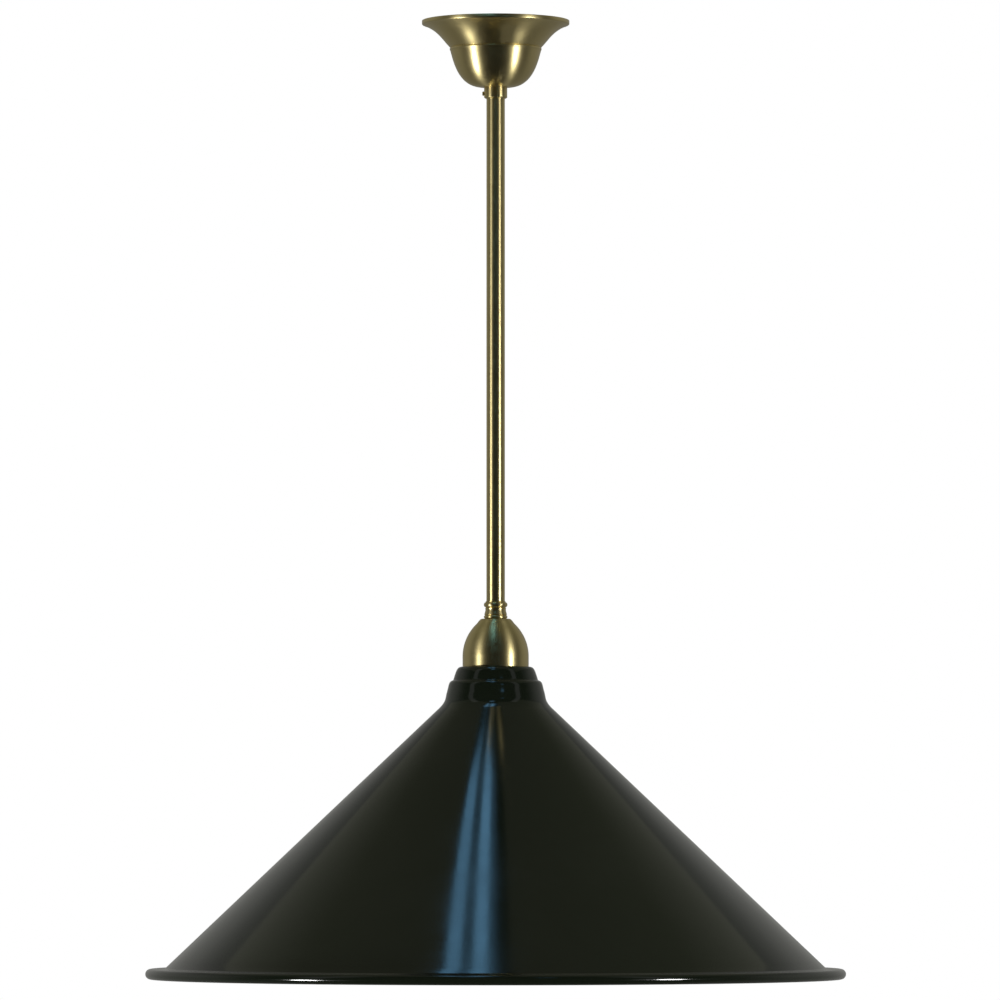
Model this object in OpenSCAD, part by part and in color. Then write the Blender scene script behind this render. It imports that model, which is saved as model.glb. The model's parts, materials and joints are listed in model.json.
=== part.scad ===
// Pool table lamp: a steel cone shade on a brass rod, hung from a ceiling rose.
// Millimetres. The origin is on the ceiling face, on the rod's axis, with +Z up.

/* [Overall] */
// Ceiling face to the lowest point of the shade's rim
overall_drop = 662; // [620:1:900]

/* [Ceiling rose] */
// Diameter across the rose's lip
rose_d = 102; // [101:0.5:105]
// Depth of the rose, from its lip to its foot
rose_h = 46; // [45.5:0.5:49]
// Thickness of spun brass sheet
brass_t = 1.0; // [0.8:0.1:1.2]
// Width of the locking collar under the rose
collar_d = 16; // [15.5:0.5:18]

/* [Rod] */
// Outside diameter of the rod
rod_d = 12.7; // [12:0.1:13]
// Wall of the rod
rod_wall = 1.6; // [1.2:0.1:1.8]

/* [Lampholder cup] */
// Diameter of the cup over the lampholder
cup_d = 45.6; // [45:0.2:47]
// Height of the cup
cup_h = 33; // [33:0.5:36]

/* [Shade] */
// Diameter across the rolled rim
shade_d = 482; // [460:1:520]
// Height of the shade, from its top plate to the foot of the rim
shade_h = 215; // [205:1:240]
// Thickness of the shade's steel sheet
shade_t = 1.0; // [0.8:0.1:1.2]
// Diameter of the rolled rim
rim_d = 7; // [6:0.5:8]
// Diameter of the hole that the lampholder passes through
shade_hole_d = 40.6; // [40.4:0.1:41]

/* [Ceiling bar] */
// Distance between the two ceiling screw holes
bar_screw_pitch = 50.8; // [48:0.1:54]
// Diameter of the ceiling screw holes
bar_screw_d = 5; // [4:0.5:6]

/* [Hidden] */

e = 0.01;          // how far a cutter runs past the face that it cuts
fine = 96;         // facets on large round parts
small = 32;        // facets on small round parts
gap = 0.05;        // running clearance

// Levels, from the ceiling down
bar_t = 2;
rose_top = -0.2;
upper_pin_z = -13;
lower_pin_z = -23;
fork_top = -36;
fork_shoulder = 7;              // depth of the rod's socket in the fork
rose_foot = rose_top - rose_h;
fork_foot = rose_foot + brass_t + 0.7;
collar_h = 8;
shade_top = -(overall_drop - shade_h);
cup_top = shade_top + cup_h;
coupling_h = 12;
coupling_top = cup_top + coupling_h;
rim_foot = -overall_drop;

rod_r = rod_d / 2;
rod_bore_r = rod_r - rod_wall;
rod_top = fork_foot + fork_shoulder;
rod_socket = 4.5;               // how far the rod goes into the coupling
rod_foot = coupling_top - rod_socket;

// Swivel: a block that turns on two crossed pins
block_w = 10;
pin_r = 2;
pin_head_r = 3;
pin_head_t = 1.2;
cheek_t = 1.6;
cheek_gap = 0.2;                // between the block and each cheek
cheek_in = block_w / 2 + cheek_gap;
cheek_out = cheek_in + cheek_t;

// M10 hollow nipple, and the lampholder's levels below the cup's top
nipple_r = 5;
nipple_bore_r = 3.7;
nipple_foot = cup_top - 12;
washer_t = 0.8;
cup_nut_t = 3;
holder_r = 19.2;
cap_top = cup_top - 6;
cap_foot = shade_top + 6;
skirt_foot = shade_top - 32;
skirt_crest_r = holder_r + 0.6;
skirt_flange_r = 21.6;
skirt_thread_pitch = 2.5;
shell_top = shade_top - 1.9;
shell_r = 14;

// E27 lamp
lamp_tip = shade_top - 5.6;
lamp_cap_top = lamp_tip - 3.4;
lamp_cap_foot = lamp_cap_top - 21;
lamp_length = 110;
globe_r = 30;
lamp_foot = lamp_tip - lamp_length;
globe_z = lamp_foot + globe_r;
lamp_thread_pitch = 3.6;
board_z = globe_z + 20;

// ---------------------------------------------------------------- helpers

function reversed(p) = [for (i = [len(p) - 1 : -1 : 0]) p[i]];
function unit(v) = v / norm(v);
function deduped(p) = [for (i = [0 : len(p) - 1]) if (i == 0 || norm(p[i] - p[i - 1]) > 0.001) p[i]];

// Arc about c from angle a0 to a1, in n steps
function arc(c, r, a0, a1, n = 8) =
    [for (i = [0 : n]) let (a = a0 + (a1 - a0) * i / n) c + r * [cos(a), sin(a)]];

// Cubic curve from p0 to p3, in n steps
function curve(p0, p1, p2, p3, n = 12) =
    [for (i = [0 : n]) let (t = i / n, s = 1 - t)
        s * s * s * p0 + 3 * s * s * t * p1 + 3 * s * t * t * p2 + t * t * t * p3];

// The path moved by d to the right of its own direction
function beside(path, d) = [for (i = [0 : len(path) - 1])
    let (a = path[max(i - 1, 0)], b = path[min(i + 1, len(path) - 1)], along = unit(b - a))
    path[i] + d * [along[1], -along[0]]];

// A ripple of rounded thread crests between two levels, as a path of [r, z]
function thread(r_root, r_crest, top, foot, pitch, per_turn = 8) =
    let (n = round((top - foot) / pitch * per_turn))
    [for (i = [0 : n]) let (z = top + (foot - top) * i / n)
        [r_root + (r_crest - r_root) * (0.5 - 0.5 * cos(360 * i / per_turn)), z]];

// Sheet metal of thickness t, spun from a path of its outer face, as [r, z]
module spun(path, t) {
    clean = deduped(path);
    rotate_extrude($fn = fine) polygon(concat(clean, reversed(beside(clean, t))));
}

// A turned solid or ring from its closed outline, as [r, z]
module turned(outline, facets = fine) {
    rotate_extrude($fn = facets) polygon(deduped(outline));
}

// Cylinders along an axis, centred on the origin or between two places
module bar_y(r, y0, y1) translate([0, y0, 0]) rotate([-90, 0, 0]) cylinder(r = r, h = y1 - y0, $fn = small);
module bar_x(r, x0, x1) translate([x0, 0, 0]) rotate([0, 90, 0]) cylinder(r = r, h = x1 - x0, $fn = small);
module tube_z(r, bore, top, foot) translate([0, 0, foot]) difference() {
    cylinder(r = r, h = top - foot, $fn = fine);
    translate([0, 0, -e]) cylinder(r = bore, h = top - foot + 2 * e, $fn = fine);
}

// A plate in the XZ plane with a round end about [0, 0] that runs straight to z = far, from y0 to y1
module cheek(far, y0, y1) translate([0, y1, 0]) rotate([90, 0, 0]) linear_extrude(y1 - y0) union() {
    circle(r = block_w / 2, $fn = small);
    translate([-block_w / 2, min(0, far)]) square([block_w, abs(far)]);
}

// A screw along +Z with its head's foot on z = 0, and a slot in its head
module slotted_screw(r, len, head_r, head_t, slot = 0.6) {
    difference() {
        union() {
            translate([0, 0, -len]) cylinder(r = r, h = len + e, $fn = small);
            cylinder(r = head_r, h = head_t * 0.6, $fn = small);
            translate([0, 0, head_t * 0.6])
                cylinder(r1 = head_r, r2 = head_r * 0.75, h = head_t * 0.4, $fn = small);
        }
        translate([-head_r - 1, -slot / 2, head_t * 0.5]) cube([2 * head_r + 2, slot, head_t]);
    }
}

// A round tube swept along a list of points, as one closed mesh
function frame_x(d) = unit(abs(d[0]) < 0.9 ? cross(d, [1, 0, 0]) : cross(d, [0, 1, 0]));
module swept(points, r, sides = 10) {
    n = len(points);
    rings = [for (i = [0 : n - 1])
        let (d = unit(points[min(i + 1, n - 1)] - points[max(i - 1, 0)]),
             u = frame_x(d), v = cross(d, u))
        for (k = [0 : sides - 1]) let (a = 360 * k / sides)
            points[i] + r * (cos(a) * u + sin(a) * v)];
    walls = [for (i = [0 : n - 2], k = [0 : sides - 1])
        let (a = i * sides + k, b = i * sides + (k + 1) % sides)
        [b, a, a + sides, b + sides]];
    first = [[for (k = [0 : sides - 1]) k]];
    last = [[for (k = [sides - 1 : -1 : 0]) (n - 1) * sides + k]];
    polyhedron(points = rings, faces = concat(walls, first, last), convexity = 6);
}

// A smooth line through the given points, with n steps on each span
function smooth(p, n = 4) = concat([for (i = [0 : len(p) - 2])
    let (a = p[max(i - 1, 0)], b = p[i], c = p[i + 1], d = p[min(i + 2, len(p) - 1)])
    for (k = [0 : n - 1]) let (t = k / n)
        0.5 * (2 * b + (c - a) * t + (2 * a - 5 * b + 4 * c - d) * t * t
            + (3 * b - a - 3 * c + d) * t * t * t)], [p[len(p) - 1]]);

// ---------------------------------------------------------------- ceiling side

bar_l = 72;
bar_w = 20;
clevis_hole_r = 2.6;

module mounting_bar() color("silver") difference() {
    translate([0, 0, -bar_t]) linear_extrude(bar_t) union() {
        square([bar_l - bar_w, bar_w], center = true);
        for (side = [-1, 1]) translate([side * (bar_l - bar_w) / 2, 0]) circle(d = bar_w, $fn = fine);
    }
    for (side = [-1, 1]) translate([side * bar_screw_pitch / 2, 0, -bar_t - e])
        cylinder(d = bar_screw_d, h = bar_t + 2 * e, $fn = small);
    translate([0, 0, -bar_t - e]) cylinder(r = clevis_hole_r, h = bar_t + 2 * e, $fn = small);
    translate([0, 0, -bar_t])
        cylinder(r1 = clevis_hole_r, r2 = clevis_hole_r + bar_t, h = bar_t + e, $fn = small);
}

// Folded strap whose two cheeks carry the upper pin
module top_clevis() color("silver") difference() {
    union() {
        translate([-block_w / 2, -cheek_out, -bar_t - cheek_t]) cube([block_w, 2 * cheek_out, cheek_t]);
        for (y0 = [-cheek_out, cheek_in]) translate([0, 0, upper_pin_z])
            cheek(-upper_pin_z - bar_t, y0, y0 + cheek_t);
    }
    translate([0, 0, -bar_t - cheek_t - e]) cylinder(r = clevis_hole_r, h = cheek_t + 2 * e, $fn = small);
    translate([0, 0, upper_pin_z]) bar_y(pin_r + 0.02, -cheek_out - e, cheek_out + e);
}

clevis_screw_r = 2.5;
clevis_nut_t = 3.5;
clevis_nut_flats = 8;

// Countersunk screw, flush with the ceiling face
module clevis_screw() color("gainsboro") difference() {
    foot = -bar_t - cheek_t - clevis_nut_t - 0.4;
    union() {
        translate([0, 0, foot]) cylinder(r = clevis_screw_r, h = -foot - 0.3, $fn = small);
        translate([0, 0, -bar_t + 0.1]) cylinder(r1 = clevis_screw_r, r2 = clevis_screw_r + bar_t - 0.3,
            h = bar_t - 0.3, $fn = small);
    }
    for (a = [0, 90]) rotate(a) translate([-1.8, -0.4, -1.2]) cube([3.6, 0.8, 2]);
}

module clevis_nut() color("gainsboro") difference() {
    translate([0, 0, -bar_t - cheek_t - clevis_nut_t])
        cylinder(d = clevis_nut_flats / cos(30), h = clevis_nut_t, $fn = 6);
    translate([0, 0, -20]) cylinder(r = clevis_screw_r + gap, h = 20, $fn = small);
}

// Shouldered pin with a head riveted on each end
module pin_along_y() {
    bar_y(pin_r, -cheek_out - e, cheek_out + e);
    for (y0 = [-cheek_out - pin_head_t, cheek_out]) bar_y(pin_head_r, y0, y0 + pin_head_t);
}

module upper_pin() color("lightgrey") translate([0, 0, upper_pin_z]) pin_along_y();
module lower_pin() color("lightgrey") translate([0, 0, lower_pin_z]) rotate(90) pin_along_y();

// Block with two crossed bores, rounded about each
module swivel_block() color("darkgoldenrod") difference() {
    intersection() {
        translate([0, 0, upper_pin_z]) cheek(lower_pin_z - upper_pin_z - block_w / 2,
            -block_w / 2, block_w / 2);
        translate([0, 0, lower_pin_z]) rotate(90) cheek(upper_pin_z - lower_pin_z + block_w / 2,
            -block_w / 2, block_w / 2);
    }
    translate([0, 0, upper_pin_z]) bar_y(pin_r + gap, -block_w, block_w);
    translate([0, 0, lower_pin_z]) bar_x(pin_r + gap, -block_w, block_w);
}

fork_r = 8.5;
fork_bore_r = 4.2;
side_screw_z = fork_foot + 3.6;
side_screw_r = 1.5;

// Fork that carries the rod below the lower pin
module rod_fork() color("darkgoldenrod") difference() {
    union() {
        for (x0 = [-cheek_out, cheek_in]) translate([0, 0, lower_pin_z])
            rotate(90) cheek(fork_top - 1 - lower_pin_z, -x0 - cheek_t, -x0);
        translate([0, 0, fork_foot]) cylinder(r = fork_r, h = fork_top - fork_foot, $fn = fine);
    }
    translate([0, 0, fork_foot - e]) cylinder(r = rod_r + gap, h = rod_top - fork_foot + e, $fn = fine);
    translate([0, 0, fork_foot]) cylinder(r = fork_bore_r, h = fork_top - fork_foot + e, $fn = small);
    translate([0, 0, lower_pin_z]) bar_x(pin_r + 0.02, -cheek_out - e, cheek_out + e);
    translate([0, 0, side_screw_z]) bar_y(side_screw_r + gap, -fork_r - e, fork_r + e);
}

// Headless screw that locks the rod in the fork
module fork_set_screw() color("dimgrey") translate([0, 0, side_screw_z]) difference() {
    bar_y(side_screw_r, rod_r + 0.1, fork_r - 0.2);
    bar_y(0.8, fork_r - 1.2, fork_r + 1);
}

earth_tag_t = 0.8;
tag_barrel_r = 1.7;
tag_barrel_x = [3.2, 6.8];
tag_barrel_y = -fork_r - tag_barrel_r;

module earth_screw() color("gold") {
    translate([0, -fork_r - earth_tag_t, side_screw_z]) rotate([90, 0, 0])
        slotted_screw(side_screw_r, fork_r + earth_tag_t - rod_r - 0.1, 2.8, 1.6);
}

// ---------------------------------------------------------------- connector and wiring

ways = [-8.5, 0, 8.5];          // X of the three ways
connector_y = -18.5;
connector_top = -10;
connector_foot = -23;
sleeve_r = 2.2;
wire_r = 1.1;

module at_connector_screws() for (x = ways, z = [connector_top - 3.5, connector_foot + 3.5])
    translate([x, connector_y, z]) rotate([90, 0, 0]) children();

module connector_block() color("ivory") difference() {
    union() {
        for (x = ways) translate([x, connector_y, connector_foot]) {
            cylinder(r = 3.6, h = connector_top - connector_foot, $fn = small);
            for (z = [3.5, connector_top - connector_foot - 3.5])
                translate([0, 0, z]) rotate([90, 0, 0]) cylinder(r = 2.9, h = 5.2, $fn = small);
        }
        translate([ways[0], connector_y - 1.2, connector_foot + 3])
            cube([ways[2] - ways[0], 2.4, connector_top - connector_foot - 6]);
    }
    for (x = ways) translate([x, connector_y, connector_foot - e])
        cylinder(r = sleeve_r, h = connector_top - connector_foot + 2 * e, $fn = small);
    at_connector_screws() cylinder(r = 2, h = 6, $fn = small);
}

module connector_sleeves() color("gold") difference() {
    for (x = ways) translate([x, connector_y, connector_foot + 1])
        cylinder(r = sleeve_r - 0.02, h = connector_top - connector_foot - 2, $fn = small);
    for (x = ways) translate([x, connector_y, connector_foot])
        cylinder(r = 1.5, h = connector_top - connector_foot, $fn = small);
    at_connector_screws() cylinder(r = 1.2, h = 6, $fn = small);
}

module connector_screws() color("gold") at_connector_screws()
    translate([0, 0, 3.4]) slotted_screw(1.15, 2.2, 1.8, 1.2, 0.5);

// Routes, as points chosen by hand. The two rod wires drop through the rod to the lampholder.
wire_offset = 1.5;              // of each rod wire from the rod's axis
terminal_x = 9;
terminal_wire_y = -2.6;
terminal_top = shade_top + 6.2;

function rod_route(way, side) = concat(
    smooth([[way, connector_y, connector_foot + 1.2], [way, connector_y, -26],
        [way * 0.75 + side, -15.5, -30], [side * 1.8, -8.5, -32.2], [side * wire_offset, -2.4, -34.4],
        [side * wire_offset, 0, -38.5], [side * wire_offset, 0, -46]]),
    [[side * wire_offset, 0, -150], [side * wire_offset, 0, -260]],
    smooth([[side * wire_offset, 0, coupling_top - 2], [side * wire_offset, 0, nipple_foot + 1],
        [side * 3.5, -0.8, nipple_foot - 2.6], [side * 7.6, -2.2, terminal_top + 7.4],
        [side * terminal_x, terminal_wire_y, terminal_top + 3.6],
        [side * terminal_x, terminal_wire_y, terminal_top + 0.05]]));

earth_route = smooth([[ways[2], connector_y, connector_foot + 1.2], [ways[2], connector_y, -26.5],
    [9.6, -17.8, -32], [11.2, -14.4, -38], [9.8, -11.2, side_screw_z + 0.3],
    [tag_barrel_x[1], tag_barrel_y, side_screw_z], [tag_barrel_x[0] + 0.6, tag_barrel_y, side_screw_z]]);

module wire_live() color("saddlebrown") swept(rod_route(ways[0], -1), wire_r);
module wire_neutral() color("royalblue") swept(rod_route(ways[1], 1), wire_r);

module wire_earth() color("limegreen") swept(earth_route, wire_r - 0.15);

// Ring tag under the earth screw, with a barrel for the earth wire
module earth_tag() color("silver") difference() {
    union() {
        translate([0, 0, side_screw_z]) bar_y(2.8, -fork_r - earth_tag_t + gap, -fork_r - 0.02);
        translate([0, -fork_r - earth_tag_t + gap, side_screw_z - 1.2])
            cube([tag_barrel_x[0] + 1, earth_tag_t - gap - 0.02, 2.4]);
        translate([0, tag_barrel_y, side_screw_z])
            bar_x(tag_barrel_r - 0.02, tag_barrel_x[0], tag_barrel_x[1]);
    }
    translate([0, 0, side_screw_z]) bar_y(side_screw_r + 0.1, -fork_r - 2, -fork_r + 1);
    translate([0, tag_barrel_y, side_screw_z]) bar_x(wire_r, tag_barrel_x[0] - e, tag_barrel_x[1] + e);
}

// ---------------------------------------------------------------- rod and rose

module rod() color("darkgoldenrod") tube_z(rod_r, rod_bore_r, rod_top, rod_foot);

crease_r = 31.5;                // of the crease between the rose's flare and its bowl
crease_z = rose_top - 18.8;

module ceiling_rose() color("darkgoldenrod") {
    lip_r = rose_d / 2;
    knee_z = rose_top - 2;
    lip = [[lip_r, rose_top], [lip_r, knee_z]];
    knee = curve([lip_r, knee_z], [lip_r, knee_z - 0.8], [lip_r - 0.5, knee_z - 0.9],
        [lip_r - 1.7, knee_z - 1.2], 6);
    flare = curve([lip_r - 1.7, knee_z - 1.2], [39.5, rose_top - 7.2], [37, rose_top - 13.2],
        [crease_r - 0.2, crease_z], 12);
    shoulder = [[crease_r + 0.25, crease_z - 0.7], [crease_r + 0.2, crease_z - 1.5]];
    bowl = curve([crease_r - 0.1, crease_z - 2], [29.5, crease_z - 8.5], [26, rose_foot],
        [10, rose_foot], 14);
    below_knee = deduped(concat(flare, shoulder, bowl, [[rod_r + 0.3, rose_foot]]));
    turned(concat(lip, knee, below_knee, reversed(beside(below_knee, brass_t)),
        [[lip_r - brass_t, knee_z - 0.1], [lip_r - brass_t, rose_top]]));
}

collar_top = rose_foot;
collar_foot = collar_top - collar_h;
collar_screw_z = collar_top - 4.6;

module rose_collar() color("goldenrod") difference() {
    turned([[rod_r + gap, collar_top], [collar_d / 2, collar_top], [collar_d / 2, collar_foot + 0.7],
        [collar_d / 2 - 0.9, collar_foot], [rod_r + gap, collar_foot]]);
    translate([0, 0, collar_screw_z]) bar_x(1.25, -collar_d, 0);
}

module collar_screw() color("goldenrod") translate([-collar_d / 2 - gap, 0, collar_screw_z])
    rotate([0, -90, 0]) slotted_screw(1.2, collar_d / 2 - rod_r - 0.1, 1.5, 1.2, 0.45);

// ---------------------------------------------------------------- coupling and cup

module rod_coupling() color("goldenrod") {
    bead_r = 8.15;
    neck_r = 6.95;
    outside = concat(
        [[rod_r + gap, coupling_top], [rod_r + 0.7, coupling_top]],
        arc([bead_r - 1.9, coupling_top - 2.3], 1.9, 75, -75, 8),
        [[neck_r + 0.3, coupling_top - 4.7]],
        curve([neck_r + 0.1, coupling_top - 5.4], [neck_r, coupling_top - 6.6],
            [neck_r + 0.7, coupling_top - 8], [neck_r + 0.9, coupling_top - 9.2], 6),
        arc([bead_r - 1.2, coupling_top - 10.7], 1.2, 80, -80, 6),
        [[bead_r - 0.6, cup_top + gap]]);
    turned(concat(outside, [[nipple_r + gap, cup_top + gap], [nipple_r + gap, rod_foot - gap],
        [rod_r + gap, rod_foot - gap]]));
}

cup_r = cup_d / 2;
cup_arc_r = 31.1;
cup_straight = 7;               // height of the cup's upright wall

module holder_cup() color("goldenrod") {
    arc_centre = [cup_r - cup_arc_r, shade_top + cup_straight];
    side = arc(arc_centre, cup_arc_r, 46, 0, 16);
    shoulder = curve([9.6, cup_top], [11, cup_top - 0.2], side[0] + [-1.1, 1.1], side[0], 6);
    spun(concat([[nipple_r + 0.3, cup_top]], shoulder, side, [[cup_r, shade_top + gap]]), 0.8);
}

module hollow_nipple() color("gold")
    tube_z(nipple_r, nipple_bore_r, rod_foot - 0.2, nipple_foot);

module cup_washer() color("silver")
    tube_z(7.5, nipple_r + gap, cup_top - 0.85, cup_top - 0.85 - washer_t);

module cup_nut() color("gold") difference() {
    translate([0, 0, cup_top - 0.9 - washer_t - cup_nut_t])
        cylinder(d = 14 / cos(30), h = cup_nut_t, $fn = 6);
    translate([0, 0, cup_top - 20]) cylinder(r = nipple_r + gap, h = 20, $fn = small);
}

// ---------------------------------------------------------------- lampholder

module holder_cap() color("#202020") difference() {
    turned([[nipple_r + gap, cap_top], [8, cap_top], [8.6, cap_top - 3.4], [12, cap_top - 4.8],
        [17.5, cap_top - 9], [holder_r, cap_top - 13], [holder_r, cap_foot],
        [holder_r - 1.6, cap_foot], [holder_r - 1.6, cap_top - 14], [14, cap_top - 10.2],
        [9, cap_top - 7.2], [nipple_r + gap, cap_top - 6.6]]);
    translate([0, 0, cap_top - 2]) bar_x(1.25, 0, 12);
}

module cap_set_screw() color("silver") translate([0, 0, cap_top - 2]) difference() {
    bar_x(1.2, nipple_r + gap, 8);
    translate([7.4, -2, -0.25]) cube([2, 4, 0.5]);
}

insert_top = cap_foot - 0.2;
insert_foot = shell_top + 0.1;
terminal_w = 6;
terminal_l = 10;

// Porcelain disc that carries the terminals
module holder_insert() color("white") difference() {
    translate([0, 0, insert_foot]) cylinder(r = holder_r - 1.8, h = insert_top - insert_foot, $fn = fine);
    for (side = [-1, 1]) translate([side * terminal_x - terminal_w / 2 - 0.1, -terminal_l / 2 - 0.1,
        insert_top - 4]) cube([terminal_w + 0.2, terminal_l + 0.2, 5]);
}

module insert_terminals() color("gold") difference() {
    for (side = [-1, 1]) translate([side * terminal_x - terminal_w / 2, -terminal_l / 2, insert_top - 3.9])
        cube([terminal_w, terminal_l, terminal_top - insert_top + 3.9]);
    for (side = [-1, 1]) translate([side * terminal_x, 2.2, insert_top - 2.5])
        cylinder(r = 1.45, h = 8, $fn = small);
}

module terminal_screws() color("gold") for (side = [-1, 1])
    translate([side * terminal_x, 2.2, terminal_top + 0.02]) slotted_screw(1.4, 2.2, 2.2, 1.5);

// Sprung strip that bears on the lamp's tip
module centre_contact() color("gold") translate([0, 2.5, 0]) rotate([90, 0, 0]) linear_extrude(5)
    polygon([[-8, insert_foot - 0.05], [1, insert_foot - 0.05], [7, insert_foot - 2.2],
        [1.6, insert_foot - 3.3], [-1.4, insert_foot - 3.3], [-1.4, insert_foot - 2.8],
        [1.5, insert_foot - 2.8], [5, insert_foot - 2.1], [0.8, insert_foot - 0.55],
        [-8, insert_foot - 0.55]]);

module screw_shell() color("gold") {
    wall = 0.5;
    outside = concat([[holder_r - 1.9, shell_top], [holder_r - 1.9, shell_top - wall],
        [shell_r, shell_top - wall]],
        thread(shell_r, shell_r + 0.35, shell_top - 2, skirt_foot + 3, lamp_thread_pitch));
    inside = concat([[shell_r - wall, shell_top]],
        thread(shell_r - wall, shell_r - wall + 0.35, shell_top - 2, skirt_foot + 3, lamp_thread_pitch));
    turned(concat(outside, reversed(inside)));
}

module holder_skirt() color("#202020") {
    inner_r = shell_r + 0.45;
    turned(concat(
        [[holder_r - 1.6, cap_foot - 0.05], [holder_r, cap_foot - 0.05], [holder_r, shade_top + 2.6],
            [skirt_flange_r, shade_top + 2.2], [skirt_flange_r, shade_top + gap],
            [holder_r, shade_top + gap], [holder_r, shade_top - 1.5]],
        thread(holder_r, skirt_crest_r, shade_top - 1.5, shade_top - 26.5, skirt_thread_pitch, 6),
        [[holder_r, skirt_foot + 1.5], [holder_r - 1, skirt_foot], [inner_r + 0.8, skirt_foot],
            [inner_r, skirt_foot + 1], [inner_r, shell_top - 0.6], [holder_r - 1.6, shell_top - 0.6]]));
}

// ---------------------------------------------------------------- shade

shade_gap = 0.05;               // between the shade's plate and the ring below it

module shade() color("#15181a") {
    rim_r = rim_d / 2;
    rim_centre = [shade_d / 2 - rim_r, rim_foot + rim_r];
    cone_foot_r = rim_centre[0] - 10.5;
    cone_foot_z = rim_centre[1] + rim_r + 0.8;
    t = shade_top;
    step_1 = concat([[shade_hole_d / 2, t], [23.2, t]],
        curve([23.2, t], [26.3, t - 0.1], [27, t - 2.4], [28.1, t - 5.6], 8), [[29.1, t - 8.8]]);
    step_2 = concat(curve([29.5, t - 9.4], [32, t - 10.4], [32.2, t - 11.8], [32.8, t - 14.4], 8),
        [[33.9, t - 18.6]]);
    flare = curve([34.5, t - 21.6], [35, t - 24], [36.4, t - 26.2], [38.8, t - 28.5], 8);
    brim = curve([cone_foot_r, cone_foot_z], [cone_foot_r + 1, cone_foot_z - 0.8],
        [cone_foot_r + 2, rim_centre[1] + rim_r], [cone_foot_r + 4, rim_centre[1] + rim_r], 4);
    roll = arc(rim_centre, rim_r, 90, -200, 24);
    spun(concat(step_1, step_2, flare, brim, roll), shade_t);
}

ring_h = 7;
ring_ribs = 24;

module shade_ring() color("#202020") {
    top = shade_top - shade_t - shade_gap;
    bore_r = skirt_crest_r + gap;
    translate([0, 0, top - ring_h]) linear_extrude(ring_h - 1.8) difference() {
        circle(r = 23.6, $fn = fine);
        circle(r = bore_r, $fn = fine);
        for (i = [0 : ring_ribs - 1]) rotate(i * 360 / ring_ribs)
            translate([24.2, 0]) circle(r = 1.4, $fn = 16);
    }
    tube_z(23, bore_r, top, top - 1.8 - e);
}

// ---------------------------------------------------------------- lamp

module bulb_tip() color("silver")
    turned([[0, lamp_tip], [2.6, lamp_tip - 0.1], [4.4, lamp_tip - 0.9], [4.6, lamp_tip - 1.5],
        [0, lamp_tip - 1.5]], small);

module bulb_insulator() color("#101014")
    turned([[0, lamp_tip - 1.52], [5, lamp_tip - 1.52], [9.2, lamp_cap_top + 0.4],
        [9.2, lamp_cap_top - 1.2], [0, lamp_cap_top - 1.2]], fine);

module bulb_cap() color("silver") {
    wall = 0.4;
    outer = concat([[9.6, lamp_cap_top], [11.6, lamp_cap_top - 1.4]],
        thread(12.1, 13.1, lamp_cap_top - 1.6, lamp_cap_foot + 2.2, lamp_thread_pitch, 10),
        [[13.1, lamp_cap_foot + 1.6], [13.1, lamp_cap_foot]]);
    clean = deduped(outer);
    turned(concat(clean, reversed(beside(clean, wall))));
}

housing_r = 22.36;              // of the globe where the housing meets it

module bulb_housing() color("white") {
    top = lamp_cap_foot - 0.1;
    turned(concat([[10.5, top], [13.1, top]],
        curve([13.3, top - 0.4], [15.6, top - 7], [20, top - 18], [housing_r + 0.3, board_z], 10),
        reversed(curve([11.8, top - 1.9], [14.4, top - 8], [18.6, top - 18.5],
            [housing_r - 1.2, board_z], 10)),
        [[10.5, top - 1.5]]));
}

module bulb_led_board() color("whitesmoke") {
    translate([0, 0, board_z + 1]) cylinder(r = 20, h = 1.6, $fn = fine);
    for (i = [0 : 9]) rotate(i * 36) translate([13, 0, board_z + 0.2])
        translate([-1.4, -1.4, 0]) cube([2.8, 2.8, 0.8 + e]);
}

module bulb_globe() color("white") {
    start = asin((board_z - gap - globe_z) / globe_r);
    turned(concat(arc([0, globe_z], globe_r, start, -90, 24),
        arc([0, globe_z], globe_r - 1.2, -90, start, 24)));
}

mounting_bar();
top_clevis();
clevis_screw();
clevis_nut();
upper_pin();
swivel_block();
lower_pin();
rod_fork();
fork_set_screw();
earth_screw();
earth_tag();
connector_block();
connector_sleeves();
connector_screws();
wire_live();
wire_neutral();
wire_earth();
rod();
ceiling_rose();
rose_collar();
collar_screw();
rod_coupling();
holder_cup();
hollow_nipple();
cup_washer();
cup_nut();
holder_cap();
cap_set_screw();
holder_insert();
insert_terminals();
terminal_screws();
centre_contact();
screw_shell();
holder_skirt();
shade();
shade_ring();
bulb_globe();
bulb_housing();
bulb_led_board();
bulb_cap();
bulb_insulator();
bulb_tip();
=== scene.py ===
"""The looks of the pool table lamp: spun brass and steel, its lampholder, its lamp and a studio."""

import json
import math

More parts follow.
